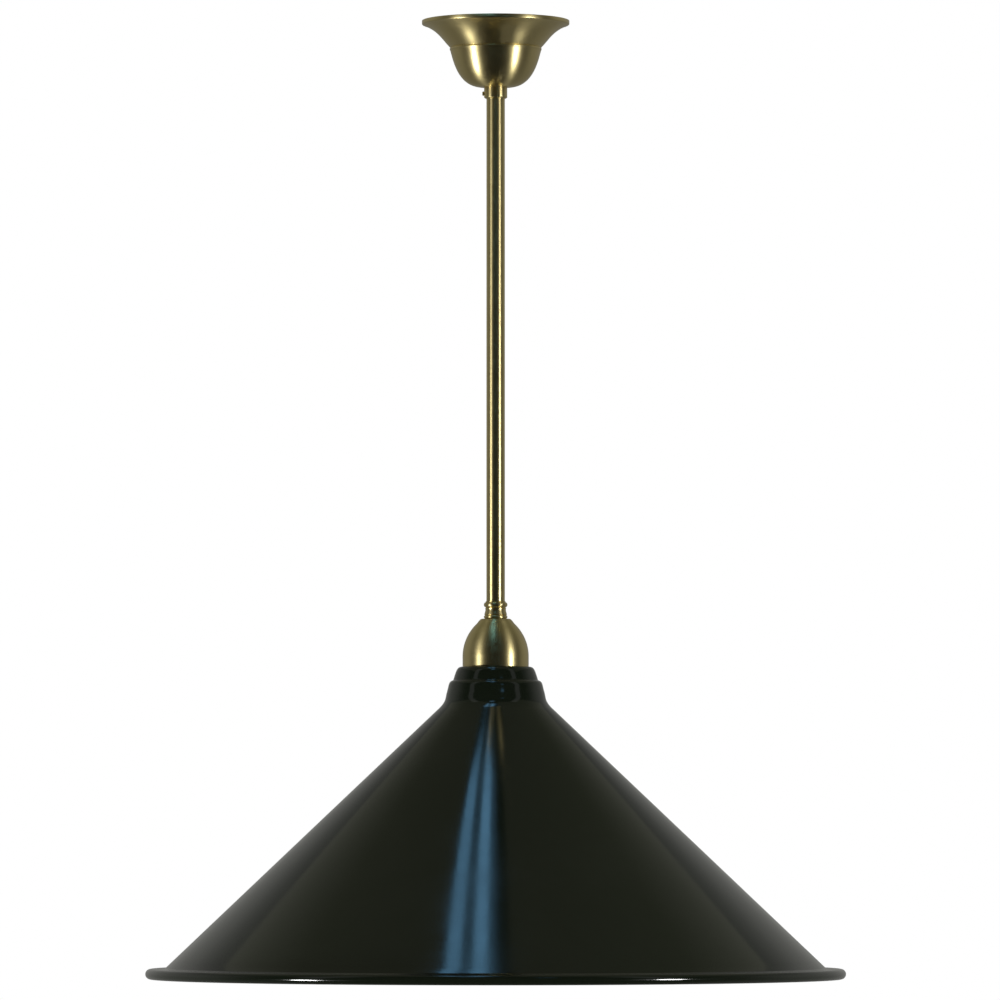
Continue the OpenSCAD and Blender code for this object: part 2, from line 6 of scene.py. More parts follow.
import bmesh
import bpy
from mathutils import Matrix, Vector


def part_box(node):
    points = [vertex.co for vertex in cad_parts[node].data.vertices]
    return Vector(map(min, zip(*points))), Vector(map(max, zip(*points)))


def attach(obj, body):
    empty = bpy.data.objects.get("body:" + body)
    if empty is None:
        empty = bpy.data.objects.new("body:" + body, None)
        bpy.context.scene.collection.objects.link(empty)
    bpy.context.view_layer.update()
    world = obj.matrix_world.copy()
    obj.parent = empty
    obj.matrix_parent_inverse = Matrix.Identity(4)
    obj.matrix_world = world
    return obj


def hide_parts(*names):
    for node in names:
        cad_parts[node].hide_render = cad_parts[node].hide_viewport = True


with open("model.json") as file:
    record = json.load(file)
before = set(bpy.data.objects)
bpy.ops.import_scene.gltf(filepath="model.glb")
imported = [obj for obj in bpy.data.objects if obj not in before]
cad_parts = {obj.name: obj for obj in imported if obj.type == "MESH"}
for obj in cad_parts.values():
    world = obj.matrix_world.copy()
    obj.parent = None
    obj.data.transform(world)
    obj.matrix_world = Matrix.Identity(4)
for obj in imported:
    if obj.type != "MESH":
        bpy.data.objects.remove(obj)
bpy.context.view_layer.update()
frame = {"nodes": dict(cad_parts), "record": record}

MM = 0.001
RECORD = frame["record"]
BODY_OF = {node: body for body, nodes in RECORD["behaviour"]["bodies"].items() for node in nodes}
SLOT_OF = {part["node"]: part["material_slot"] for part in RECORD["subparts"]}


def top(node):
    """Height of a CAD node's highest point, in mm."""
    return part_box(node)[1].z / MM


def foot(node):
    """Height of a CAD node's lowest point, in mm."""
    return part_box(node)[0].z / MM


def radius(node):
    """Radius of a turned CAD node, in mm."""
    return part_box(node)[1].x / MM


# ---------------------------------------------------------------- outlines, in mm, as (r, z)


def curve(p0, p1, p2, p3, n=24):
    """A cubic curve from p0 to p3."""
    points = []
    for i in range(n + 1):
        t = i / n
        s = 1 - t
        weights = (s * s * s, 3 * s * s * t, 3 * s * t * t, t * t * t)
        points.append(tuple(sum(w * p[k] for w, p in zip(weights, (p0, p1, p2, p3))) for k in (0, 1)))
    return points


def arc(centre, r, start, end, n=24):
    """An arc about centre, between two angles in degrees."""
    angles = [math.radians(start + (end - start) * i / n) for i in range(n + 1)]
    return [(centre[0] + r * math.cos(a), centre[1] + r * math.sin(a)) for a in angles]


def straight(a, b, n=8):
    """Points along a line from a to b."""
    return [(a[0] + (b[0] - a[0]) * i / n, a[1] + (b[1] - a[1]) * i / n) for i in range(n + 1)]


def without_repeats(path):
    kept = [path[0]]
    for p in path[1:]:
        if math.dist(p, kept[-1]) > 0.002:
            kept.append(p)
    return kept


def beside(path, distance):
    """The path moved to the right of its own direction."""
    moved = []
    for i, (r, z) in enumerate(path):
        a, b = path[max(i - 1, 0)], path[min(i + 1, len(path) - 1)]
        length = math.dist(a, b)
        moved.append((r + distance * (b[1] - a[1]) / length, z - distance * (b[0] - a[0]) / length))
    return moved


def eased(outline, r=0.15, sharpest=28, steps=4):
    """A closed outline with its sharp corners rounded, so that each edge catches the light."""
    rounded = []
    count = len(outline)
    for i, p in enumerate(outline):
        a, b = outline[i - 1], outline[(i + 1) % count]
        before, after = math.dist(a, p), math.dist(p, b)
        if before < 1e-6 or after < 1e-6 or p[0] < 0.01:
            rounded.append(p)
            continue
        into = ((p[0] - a[0]) / before, (p[1] - a[1]) / before)
        out = ((b[0] - p[0]) / after, (b[1] - p[1]) / after)
        turn = math.degrees(math.acos(max(-1, min(1, into[0] * out[0] + into[1] * out[1]))))
        if turn < sharpest:
            rounded.append(p)
            continue
        cut = min(r * math.tan(math.radians(min(turn, 150)) / 2), 0.45 * before, 0.45 * after)
        first = (p[0] - into[0] * cut, p[1] - into[1] * cut)
        last = (p[0] + out[0] * cut, p[1] + out[1] * cut)
        for k in range(steps + 1):
            t = k / steps
            s = 1 - t
            rounded.append(tuple(s * s * first[j] + 2 * s * t * p[j] + t * t * last[j] for j in (0, 1)))
    return rounded


# ---------------------------------------------------------------- meshes


def finished(name, bm, limit=42):
    """A mesh object with smooth shading and crisp edges where faces meet at more than limit degrees."""
    bmesh.ops.recalc_face_normals(bm, faces=bm.faces)
    for face in bm.faces:
        face.smooth = True
    for edge in bm.edges:
        edge.smooth = edge.calc_face_angle(0) < math.radians(limit)
    mesh = bpy.data.meshes.new(name)
    bm.to_mesh(mesh)
    bm.free()
    obj = bpy.data.objects.new(name, mesh)
    bpy.context.scene.collection.objects.link(obj)
    return obj


def lathe(name, outline, turns=160, shape=None, split=None):
    """A turned piece from its closed outline. shape(r, z, angle) gives each point's radius.
    Faces past the outline's point number split take the second material."""
    bm = bmesh.new()
    rings = []
    for r, z in outline:
        if r < 0.01:
            rings.append([bm.verts.new((0, 0, z * MM))])
            continue
        ring = []
        for i in range(turns):
            a = math.tau * i / turns
            bulge = shape(r, z, a) if shape else r
            ring.append(bm.verts.new((bulge * math.cos(a) * MM, bulge * math.sin(a) * MM, z * MM)))
        rings.append(ring)
    for k, ring in enumerate(rings):
        other = rings[(k + 1) % len(rings)]
        for i in range(turns):
            j = (i + 1) % turns
            if len(ring) == 1 and len(other) == 1:
                break
            if len(ring) == 1:
                corners = (ring[0], other[i], other[j])
            elif len(other) == 1:
                corners = (ring[i], ring[j], other[0])
            else:
                corners = (ring[i], ring[j], other[j], other[i])
            face = bm.faces.new(corners)
            face.material_index = 1 if split is not None and k >= split else 0
    return finished(name, bm)


def spun(name, path, thickness, turns=160, split=False):
    """A piece spun from sheet metal, from the path of its outer face."""
    outer = without_repeats(path)
    outline = outer + beside(outer, thickness)[::-1]
    return lathe(name, outline, turns, split=len(outer) - 1 if split else None)


def helix(root, crest, start, end, pitch, fade=1.5):
    """A shape for lathe(): a right-hand thread between two heights, on points at the root radius."""

    def shape(r, z, angle):
        if not min(start, end) <= z <= max(start, end) or abs(r - root) > 0.02:
            return r
        run_in = min(1, (max(start, end) - z) / fade, (z - min(start, end)) / fade)
        phase = math.tau * z / pitch - angle
        return r + (crest - root) * run_in * (0.5 + 0.5 * math.cos(phase))

    return shape


def both_threads(outside, inside):
    """A shape for lathe(): a wall with a thread on each of its faces."""
    return lambda r, z, angle: inside(outside(r, z, angle), z, angle)


def stands_for(obj, node, *materials):
    """obj takes the place of a CAD node: it rides on the node's body and takes its slot."""
    for material in materials:
        obj.data.materials.append(material)
    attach(obj, BODY_OF[node])
    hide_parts(node)
    return obj


# ---------------------------------------------------------------- materials


class Look:
    """One node material. Each call adds a node and returns its first output."""

    def __init__(self, name, **constants):
        self.material = bpy.data.materials.new(name)
        self.material.use_nodes = True
        self.tree = self.material.node_tree
        self.shader = self.tree.nodes["Principled BSDF"]
        for socket, value in constants.items():
            self.shader.inputs[socket.replace("_", " ")].default_value = value
        self.place = self.add("ShaderNodeTexCoord").node.outputs["Object"]

    def add(self, kind, inputs=None, output=0, **settings):
        node = self.tree.nodes.new(kind)
        for key, value in settings.items():
            setattr(node, key, value)
        for key, value in (inputs or {}).items():
            self.put(node.inputs[key], value)
        return node.outputs[output]

    def put(self, socket, value):
        if isinstance(value, bpy.types.NodeSocket):
            self.tree.links.new(value, socket)
        else:
            socket.default_value = value

    def set(self, socket, value):
        self.put(self.shader.inputs[socket], value)

    def maths(self, operation, a, b=0.0, c=0.0):
        return self.add("ShaderNodeMath", {0: a, 1: b, 2: c}, operation=operation)

    def noise(self, scale, detail=3.0, rough=0.55, warp=0.0, place=None):
        return self.add("ShaderNodeTexNoise", {
            "Vector": place or self.place, "Scale": scale, "Detail": detail,
            "Roughness": rough, "Distortion": warp})

    def cells(self, scale):
        return self.add("ShaderNodeTexVoronoi", {"Vector": self.place, "Scale": scale})

    def span(self, value, low, high, out_low=0.0, out_high=1.0):
        """value from low..high to out_low..out_high, held at both ends."""
        return self.add("ShaderNodeMapRange", {
            "Value": value, "From Min": low, "From Max": high, "To Min": out_low, "To Max": out_high})

    def blend(self, factor, a, b):
        node = self.tree.nodes.new("ShaderNodeMix")
        node.data_type = "RGBA"
        self.put(node.inputs[0], factor)
        self.put(node.inputs[6], a)
        self.put(node.inputs[7], b)
        return node.outputs[2]

    def bump(self, height, depth, strength=1.0, after=None):
        inputs = {"Height": height, "Distance": depth, "Strength": strength}
        if after is not None:
            inputs["Normal"] = after
        return self.add("ShaderNodeBump", inputs)

    def round_z(self, across, around):
        """Coordinates for marks that run round the Z axis: fine along the outline, long round it."""
        xyz = self.add("ShaderNodeSeparateXYZ", {0: self.place}).node.outputs
        flat = self.add("ShaderNodeCombineXYZ", {0: xyz[0], 1: xyz[1]})
        r = self.add("ShaderNodeVectorMath", {0: flat}, operation="LENGTH", output=1)
        unit = self.add("ShaderNodeVectorMath", {0: flat}, operation="NORMALIZE")
        xy = self.add("ShaderNodeSeparateXYZ", {0: unit}).node.outputs
        along = self.maths("MULTIPLY", self.maths("SUBTRACT", xyz[2], r), across)
        return self.add("ShaderNodeCombineXYZ", {
            0: self.maths("MULTIPLY", xy[0], around), 1: self.maths("MULTIPLY", xy[1], around), 2: along})


def metal(name, colour, tarnish, roughness, spread, marks=0.00001, patchy=0.4, **constants):
    """A turned or spun metal, with marks round its axis, smudges and a little tarnish."""
    look = Look(name, Metallic=1.0, **constants)
    look.set("Tangent", look.add("ShaderNodeTangent", direction_type="RADIAL", axis="Z"))
    patches = look.noise(22, 4, 0.6, 0.8)
    pores = look.span(look.cells(900), 0.0, 0.12, 1.0, 0.0)
    aged = look.maths("MAXIMUM", look.span(patches, 0.45, 0.75, 0, patchy),
                      look.maths("MULTIPLY", pores, look.span(patches, 0.5, 0.62, 0, 0.35)))
    look.set("Base Color", look.blend(aged, colour, tarnish))
    smudges = look.span(look.noise(75, 5, 0.62, 1.6), 0.48, 0.72)
    rings = look.noise(1, 5, 0.7, place=look.round_z(2600, 1.1))
    coarse = look.noise(1, 2, 0.5, place=look.round_z(420, 0.6))
    rough = look.maths("MULTIPLY_ADD", smudges, spread, roughness)
    look.set("Roughness", look.maths("MULTIPLY_ADD", look.span(rings, 0.35, 0.7), spread * 0.6, rough))
    fine = look.bump(rings, marks, 0.5)
    look.set("Normal", look.bump(coarse, marks * 3, 0.35, fine))
    return look.material


def flat_metal(name, colour, tint, roughness, spread):
    """Plated or pressed steel: mottled plating, faint rolling marks and a fine spangle."""
    look = Look(name, Metallic=1.0)
    cloud = look.noise(130, 4, 0.6, 1.2)
    look.set("Base Color", look.blend(look.span(cloud, 0.35, 0.7), colour, tint))
    spangle = look.cells(1500)
    rolled = look.add("ShaderNodeMapping", {"Vector": look.place, "Scale": (60, 2600, 2600)})
    grain = look.noise(1, 3, 0.6, place=rolled)
    rough = look.maths("MULTIPLY_ADD", look.span(cloud, 0.3, 0.7), spread, roughness)
    look.set("Roughness", look.maths("MULTIPLY_ADD", look.span(grain, 0.4, 0.65), spread, rough))
    look.set("Normal", look.bump(grain, 0.00002, 0.35, look.bump(spangle, 0.00002, 0.15)))
    return look.material


def gloss_paint(name, colour, dusty, roughness, peel, dust=0.3):
    """Sprayed gloss paint: orange peel, faint haze, dust nibs and fine polishing swirls."""
    look = Look(name, Specular_IOR_Level=0.5, Coat_Weight=0.15, Coat_Roughness=0.09)
    haze = look.noise(14, 4, 0.6, 0.7)
    nibs = look.span(look.cells(260), 0.0, 0.055, 1.0, 0.0)
    few = look.span(look.noise(48, 2), 0.58, 0.66)
    speck = look.maths("MULTIPLY", nibs, few)
    film = look.span(haze, 0.4, 0.8, 0.0, dust * 0.2)
    look.set("Base Color", look.blend(look.maths("MAXIMUM", film, look.maths("MULTIPLY", speck, dust)),
                                      colour, dusty))
    swirls = look.noise(1, 4, 0.7, place=look.round_z(1500, 2.5))
    rough = look.maths("MULTIPLY_ADD", look.span(haze, 0.35, 0.75), 0.07, roughness)
    look.set("Roughness", look.maths("MULTIPLY_ADD", look.span(swirls, 0.45, 0.7), 0.04, rough))
    skin = look.bump(look.noise(420, 2, 0.5), peel, 0.5)
    skin = look.bump(look.noise(90, 1, 0.5), peel * 2, 0.3, skin)
    look.set("Normal", look.bump(speck, 0.00005, 0.6, skin))
    return look.material


def moulded(name, colour, paler, roughness, grain=0.00002, **constants):
    """Moulded plastic: flow marks, a fine skin and light rubbing."""
    look = Look(name, **constants)
    flow = look.noise(60, 4, 0.6, 1.5)
    look.set("Base Color", look.blend(look.span(flow, 0.4, 0.75, 0, 0.6), colour, paler))
    rubbed = look.noise(240, 5, 0.65, 0.5)
    look.set("Roughness", look.span(rubbed, 0.3, 0.72, roughness, roughness + 0.16))
    look.set("Normal", look.bump(look.noise(1400, 2), grain, 0.5, look.bump(flow, grain * 2, 0.2)))
    return look.material


def sleeve(name, colour, stripe=None):
    """A PVC wire sleeve, with a stripe along it if one is given."""
    look = Look(name, Specular_IOR_Level=0.4)
    drift = look.span(look.noise(300, 3, 0.6), 0.35, 0.7, 0, 0.35)
    darker = tuple(c * 0.6 for c in colour[:3]) + (1,)
    shade = look.blend(drift, colour, darker)
    if stripe is not None:
        uv = look.add("ShaderNodeTexCoord").node.outputs["UV"]
        v = look.add("ShaderNodeSeparateXYZ", {0: uv}).node.outputs[1]
        band = look.span(look.maths("ABSOLUTE", look.maths("SUBTRACT", v, 0.5)), 0.17, 0.19)
        shade = look.blend(band, shade, stripe)
    look.set("Base Color", shade)
    look.set("Roughness", look.span(look.noise(900, 3), 0.3, 0.7, 0.32, 0.5))
    look.set("Normal", look.bump(look.noise(2500, 2), 0.00001, 0.4))
    return look.material


def glazed(name, colour, speckle, roughness=0.12):
    """Glazed porcelain or vitreous glass, with pinholes and a slight waviness."""
    look = Look(name, Specular_IOR_Level=0.55, Coat_Weight=0.3, Coat_Roughness=0.05)
    dots = look.span(look.cells(700), 0.0, 0.08, 0.5, 0.0)
    look.set("Base Color", look.blend(dots, colour, speckle))
    look.set("Roughness", look.span(look.noise(120, 3), 0.3, 0.7, roughness, roughness + 0.12))
    look.set("Normal", look.bump(look.noise(160, 2), 0.00005, 0.4))
    return look.material


def opal(name, colour):
    """The frosted diffuser of the lamp."""
    look = Look(name, Subsurface_Weight=0.35, Subsurface_Scale=0.004, Specular_IOR_Level=0.5)
    look.set("Base Color", look.blend(look.span(look.noise(40, 3), 0.3, 0.8, 0, 0.25), colour,
                                      (0.84, 0.83, 0.78, 1)))
    look.set("Roughness", look.span(look.noise(300, 4, 0.6), 0.3, 0.7, 0.22, 0.34))
    look.set("Normal", look.bump(look.noise(1800, 2), 0.00001, 0.5))
    return look.material


BRASS = (0.69, 0.58, 0.28, 1)
BRASS_TARNISH = (0.34, 0.23, 0.09, 1)

LOOKS = {
    "polished_brass": metal("polished_brass", BRASS, BRASS_TARNISH, 0.35, 0.05, 0.000002, 0.14,
                            Anisotropic=0.8, Anisotropic_Rotation=0.25),
    "plain_brass": metal("plain_brass", (0.66, 0.49, 0.23, 1), BRASS_TARNISH, 0.2, 0.16, 0.00002, 0.7),
    "zinc_steel": flat_metal("zinc_steel", (0.56, 0.57, 0.57, 1), (0.58, 0.54, 0.40, 1), 0.24, 0.12),
    "bright_steel": metal("bright_steel", (0.62, 0.62, 0.62, 1), (0.4, 0.38, 0.35, 1), 0.16, 0.12, 0.00001),
    "dark_steel": flat_metal("dark_steel", (0.06, 0.06, 0.065, 1), (0.1, 0.09, 0.08, 1), 0.35, 0.12),
    "black_gloss": gloss_paint("black_gloss", (0.0045, 0.0066, 0.0035, 1), (0.05, 0.05, 0.04, 1),
                               0.08, 0.00002, 0.15),
    "phenolic": moulded("phenolic", (0.012, 0.011, 0.010, 1), (0.03, 0.026, 0.022, 1), 0.2),
    "porcelain": glazed("porcelain", (0.84, 0.82, 0.76, 1), (0.45, 0.38, 0.28, 1)),
    "connector_plastic": moulded("connector_plastic", (0.80, 0.78, 0.70, 1), (0.86, 0.85, 0.80, 1), 0.34,
                                 Subsurface_Weight=0.2, Subsurface_Scale=0.002),
    "wire_brown": sleeve("wire_brown", (0.16, 0.055, 0.02, 1)),
    "wire_blue": sleeve("wire_blue", (0.015, 0.09, 0.36, 1)),
    "wire_green_yellow": sleeve("wire_green_yellow", (0.05, 0.26, 0.03, 1), (0.75, 0.62, 0.03, 1)),
    "bulb_opal": opal("bulb_opal", (0.90, 0.89, 0.85, 1)),
    "bulb_white": moulded("bulb_white", (0.82, 0.82, 0.80, 1), (0.88, 0.88, 0.86, 1), 0.28),
    "bulb_nickel": metal("bulb_nickel", (0.62, 0.60, 0.56, 1), (0.36, 0.33, 0.28, 1), 0.16, 0.12, 0.00001),
    "bulb_black_glass": glazed("bulb_black_glass", (0.012, 0.011, 0.016, 1), (0.05, 0.05, 0.06, 1)),
    "board_white": moulded("board_white", (0.80, 0.81, 0.79, 1), (0.86, 0.86, 0.85, 1), 0.3),
}
WHITE_INSIDE = gloss_paint("white_inside", (0.80, 0.80, 0.76, 1), (0.62, 0.60, 0.54, 1),
                           0.26, 0.00004, 0.25)


def look_of(node):
    return LOOKS[SLOT_OF[node]]


# ---------------------------------------------------------------- the ceiling rose and rod

ROD_R = radius("rod")
SHEET = 1.0


def ceiling_rose():
    rim, lip_top, low = radius("ceiling_rose"), top("ceiling_rose"), foot("ceiling_rose")
    knee_z = lip_top - 2
    crease_r, crease_z = 31.5, lip_top - 18.8
    lip = [(rim - 0.25, lip_top), (rim - 0.08, lip_top - 0.08), (rim, lip_top - 0.25), (rim, knee_z)]
    knee = curve((rim, knee_z), (rim, knee_z - 0.8),
                 (rim - 0.5, knee_z - 0.9), (rim - 1.7, knee_z - 1.2), 16)
    flare = curve(knee[-1], (39.5, lip_top - 7.2), (37, lip_top - 13.2), (crease_r - 0.2, crease_z), 40)
    shoulder = curve((crease_r, crease_z - 0.2), (crease_r + 0.35, crease_z - 0.4),
                     (crease_r + 0.4, crease_z - 1.3), (crease_r + 0.05, crease_z - 1.7), 8)
    bowl = curve((crease_r - 0.1, crease_z - 2), (29.5, crease_z - 8.5), (26, low), (10, low), 48)
    below_knee = without_repeats(flare + shoulder + bowl + [(ROD_R + 0.5, low), (ROD_R + 0.3, low + 0.15)])
    edge = [(rim - SHEET, knee_z - 0.1), (rim - SHEET, lip_top - 0.2), (rim - SHEET + 0.2, lip_top)]
    outline = without_repeats(lip + knee + below_knee) + beside(below_knee, SHEET)[::-1] + edge
    stands_for(lathe("spun_rose", outline, 224), "ceiling_rose", look_of("ceiling_rose"))


def rose_collar():
    r, high, low = radius("rose_collar"), top("rose_collar"), foot("rose_collar")
    outline = [(ROD_R + 0.05, high), (r, high), (r, low + 0.7), (r - 0.9, low), (ROD_R + 0.05, low)]
    collar = lathe("turned_collar", eased(outline, 0.2), 128)
    stands_for(collar, "rose_collar", look_of("rose_collar"))


def rod():
    bore_r = ROD_R - 1.6
    high, low = top("rod"), foot("rod")
    outline = [(ROD_R, high), (ROD_R, low), (bore_r, low), (bore_r, high)]
    stands_for(lathe("brass_rod", eased(outline, 0.2), 128), "rod", look_of("rod"))


# ---------------------------------------------------------------- the coupling and cup

SHADE_TOP = top("shade")
CUP_TOP = top("holder_cup")
NIPPLE_R = 5


def rod_coupling():
    high, low = top("rod_coupling"), foot("rod_coupling")
    bead_r, neck_r = 8.15, 6.95
    outside = ([(ROD_R + 0.05, high), (ROD_R + 0.7, high)]
               + arc((bead_r - 1.9, high - 2.3), 1.9, 75, -75, 20)
               + [(neck_r + 0.3, high - 4.7)]
               + curve((neck_r + 0.1, high - 5.4), (neck_r, high - 6.6),
                       (neck_r + 0.7, high - 8), (neck_r + 0.9, high - 9.2), 16)
               + arc((bead_r - 1.2, high - 10.7), 1.2, 80, -80, 16)
               + [(bead_r - 0.6, low)])
    socket = foot("rod") - 0.05
    inside = [(NIPPLE_R + 0.05, low), (NIPPLE_R + 0.05, socket), (ROD_R + 0.05, socket)]
    coupling = lathe("turned_coupling", eased(without_repeats(outside + inside), 0.18, 34), 128)
    stands_for(coupling, "rod_coupling", look_of("rod_coupling"))


def holder_cup():
    r, upright = radius("holder_cup"), 7
    bend = 31.1
    side = arc((r - bend, SHADE_TOP + upright), bend, 46, 0, 48)
    start = side[0]
    shoulder = curve((9.6, CUP_TOP), (11, CUP_TOP - 0.2), (start[0] - 1.1, start[1] + 1.1), start, 16)
    path = [(NIPPLE_R + 0.3, CUP_TOP)] + shoulder + side + [(r, SHADE_TOP + 0.6), (r, foot("holder_cup"))]
    stands_for(spun("spun_cup", path, 0.8), "holder_cup", look_of("holder_cup"))


# ---------------------------------------------------------------- the shade


def shade():
    t, rim_r = SHADE_TOP, 3.5
    low, outer = foot("shade"), radius("shade")
    rim = (outer - rim_r, low + rim_r)
    cone_r, cone_z = rim[0] - 10.5, rim[1] + rim_r + 0.8
    path = ([(20.3, t), (23.2, t)]
            + curve((23.2, t), (26.3, t - 0.1), (27, t - 2.4), (28.1, t - 5.6), 24)
            + curve((28.6, t - 7.2), (29.1, t - 8.8), (29.1, t - 9.2), (29.5, t - 9.4), 8)
            + curve((29.7, t - 9.5), (32, t - 10.4), (32.2, t - 11.8), (32.8, t - 14.4), 24)
            + straight((33.2, t - 16), (33.9, t - 18.6), 3)
            + curve((34.5, t - 21.6), (35, t - 24), (36.4, t - 26.2), (38.8, t - 28.5), 20)
            + straight((38.8, t - 28.5), (cone_r, cone_z), 48)
            + curve((cone_r, cone_z), (cone_r + 1, cone_z - 0.8),
                    (cone_r + 2, rim[1] + rim_r), (cone_r + 4, rim[1] + rim_r), 12)
            + arc(rim, rim_r, 90, -200, 72))
    stands_for(spun("spun_shade", path, SHEET, 320, split=True), "shade", look_of("shade"), WHITE_INSIDE)


# ---------------------------------------------------------------- the lampholder


def holder_skirt():
    t = SHADE_TOP
    outer, inner, high, low = 19.2, 14.45, top("holder_skirt"), foot("holder_skirt")
    thread_top, thread_foot = t - 1.5, t - 26.5
    outline = ([(outer - 1.6, high), (outer, high), (outer, t + 2.6), (21.6, t + 2.2), (21.6, t + 0.05),
                (outer, t + 0.05)]
               + straight((outer, thread_top), (outer, thread_foot), 150)
               + [(outer, low + 1.5), (outer - 1, low), (inner + 0.8, low), (inner, low + 1),
                  (inner, t - 2.5), (outer - 1.6, t - 2.5)])
    shape = helix(outer, outer + 0.6, thread_top, thread_foot, 2.5)
    skirt = lathe("threaded_skirt", eased(outline, 0.25), 160, shape)
    stands_for(skirt, "holder_skirt", look_of("holder_skirt"))


def screw_shell():
    t, r, wall = top("screw_shell"), 14, 0.5
    low = foot("screw_shell")
    start, end = t - 2, low + 0.3
    outline = ([(17.3, t), (17.3, t - wall), (r, t - wall)]
               + straight((r, start), (r, end), 150) + [(r, low), (r - wall, low)]
               + straight((r - wall, end), (r - wall, start), 150) + [(r - wall, t)])
    outside = helix(r, r + 0.35, start, end, 3.6)
    inside = helix(r - wall, r - wall + 0.35, start, end, 3.6)
    shell = lathe("threaded_shell", outline, 128, both_threads(outside, inside))
    stands_for(shell, "screw_shell", look_of("screw_shell"))


# ---------------------------------------------------------------- the lamp


def bulb_cap():
    high, low, wall = top("bulb_cap"), foot("bulb_cap"), 0.4
    root = 12.1
    start, end = high - 1.6, low + 2.2
    outline = ([(9.6, high), (11.6, high - 1.4)] + straight((root, start), (root, end), 160)
               + [(13.1, low + 1.6), (13.1, low), (12.7, low), (12.7, low + 1.4)]
               + straight((root - wall, end), (root - wall, start), 160)
               + [(11.3, high - 1.7), (9.4, high - 0.4)])
    outside = helix(root, root + 1, start, end, 3.6)
    inside = helix(root - wall, root - wall + 1, start, end, 3.6)
    cap = lathe("threaded_cap", outline, 144, both_threads(outside, inside))
    stands_for(cap, "bulb_cap", look_of("bulb_cap"))


def bulb_housing():
    high, low = top("bulb_housing"), foot("bulb_housing")
    outline = ([(10.5, high), (13.1, high)]
               + curve((13.3, high - 0.4), (15.6, high - 7), (20, high - 18), (22.66, low), 32)
               + curve((21.16, low), (18.6, high - 18.5), (14.4, high - 8), (11.8, high - 1.9), 32)
               + [(10.5, high - 1.5)])
    stands_for(lathe("lamp_housing", eased(outline, 0.4)), "bulb_housing", look_of("bulb_housing"))


def bulb_globe():
    r, low, high = 30, foot("bulb_globe"), top("bulb_globe")
    centre = (0, low + r)
    start = math.degrees(math.asin((high - centre[1]) / r))
    outline = arc(centre, r, start, -90, 72) + arc(centre, r - 1.2, -90, start, 72)
    stands_for(lathe("opal_globe", eased(outline, 0.2)), "bulb_globe", look_of("bulb_globe"))


# ---------------------------------------------------------------- the wires

WIRE_R = 1.1


def smooth(points, n=6):
    """A smooth line through the points, with n steps on each span."""
    line = []
    for i in range(len(points) - 1):
        a, b = Vector(points[max(i - 1, 0)]), Vector(points[i])
        c, d = Vector(points[i + 1]), Vector(points[min(i + 2, len(points) - 1)])
        for k in range(n):
            t = k / n
            line.append((2 * b + (c - a) * t + (2 * a - 5 * b + 4 * c - d) * t * t
                         + (3 * b - a - 3 * c + d) * t * t * t) / 2)
    return line + [Vector(points[-1])]


def tube(name, line, r, sides=20):
    """A round tube along a line, with UVs: U along it and V round it."""
    bm = bmesh.new()
    uv = bm.loops.layers.uv.new("UVMap")
    rings, up = [], Vector((0, 1, 0))
    for i, p in enumerate(line):
        along = (line[min(i + 1, len(line) - 1)] - line[max(i - 1, 0)]).normalized()
        side = along.cross(up).normalized()
        up = side.cross(along).normalized()
        angles = [math.tau * k / sides for k in range(sides)]
        rings.append([bm.verts.new((p + r * (math.cos(a) * side + math.sin(a) * up)) * MM) for a in angles])
    run = 0.0
    for i in range(len(rings) - 1):
        step = (line[i + 1] - line[i]).length
        for k in range(sides):
            j = (k + 1) % sides
            face = bm.faces.new((rings[i][k], rings[i][j], rings[i + 1][j], rings[i + 1][k]))
            places = ((run, k), (run, k + 1), (run + step, k + 1), (run + step, k))
            for loop, (u, v) in zip(face.loops, places):
                loop[uv].uv = (u * MM, v / sides)
        run += step
    bm.faces.new(rings[0])
    bm.faces.new(rings[-1][::-1])
    return finished(name, bm)


# The routes of part.scad, in mm
SIDE_SCREW_Z = foot("rod_fork") + 3.6
TAG_BARREL_Y = -8.5 - 1.7
WAYS = (-8.5, 0, 8.5)
CONNECTOR_Y = -18.5
CONNECTOR_FOOT = foot("connector_block")
COUPLING_TOP = top("rod_coupling")
NIPPLE_FOOT = foot("hollow_nipple")
TERMINAL_TOP = top("insert_terminals")
WIRE_OFFSET = 1.5


def rod_route(way, side):
    upper = [(way, CONNECTOR_Y, CONNECTOR_FOOT + 1.2), (way, CONNECTOR_Y, -26),
             (way * 0.75 + side, -15.5, -30), (side * 1.8, -8.5, -32.2), (side * WIRE_OFFSET, -2.4, -34.4),
             (side * WIRE_OFFSET, 0, -38.5), (side * WIRE_OFFSET, 0, -46)]
    lower = [(side * WIRE_OFFSET, 0, COUPLING_TOP - 2), (side * WIRE_OFFSET, 0, NIPPLE_FOOT + 1),
             (side * 3.5, -0.8, NIPPLE_FOOT - 2.6), (side * 7.6, -2.2, TERMINAL_TOP + 7.4),
             (side * 9, -2.6, TERMINAL_TOP + 3.6), (side * 9, -2.6, TERMINAL_TOP + 0.05)]
    middle = [Vector((side * WIRE_OFFSET, 0, z)) for z in (-150, -260)]
    return smooth(upper) + middle + smooth(lower)


EARTH_ROUTE = [(8.5, CONNECTOR_Y, CONNECTOR_FOOT + 1.2), (8.5, CONNECTOR_Y, -26.5), (9.6, -17.8, -32),
               (11.2, -14.4, -38), (9.8, -11.2, SIDE_SCREW_Z + 0.3), (6.8, TAG_BARREL_Y, SIDE_SCREW_Z),
               (3.8, TAG_BARREL_Y, SIDE_SCREW_Z)]


def wire(name, node, line, r):
    stands_for(tube(name, line, r), node, look_of(node))


